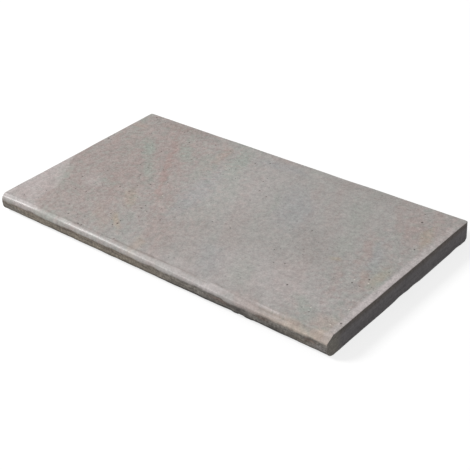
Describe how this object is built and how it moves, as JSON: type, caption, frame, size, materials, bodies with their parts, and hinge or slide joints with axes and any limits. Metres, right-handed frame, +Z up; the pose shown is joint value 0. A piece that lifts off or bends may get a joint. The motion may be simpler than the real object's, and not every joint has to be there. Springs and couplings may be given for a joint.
{
  "type": "pool coping stone",
  "caption": "Rectangular slab of natural stone with a bullnose along its front edge, for capping the edge of a swimming pool.",
  "frame": {"origin": "middle of the underside's outline, on the surface that the stone lies on", "axes": "+X along the pool's edge, -Y out over the water on the bullnose side, +Z up through the thickness"},
  "size_m": [0.61, 0.33, 0.03],
  "materials": {
    "stone": "matte"
  },
  "bodies": {
    "root": {"coping_stone": "stone"}
  },
  "joints": []
}
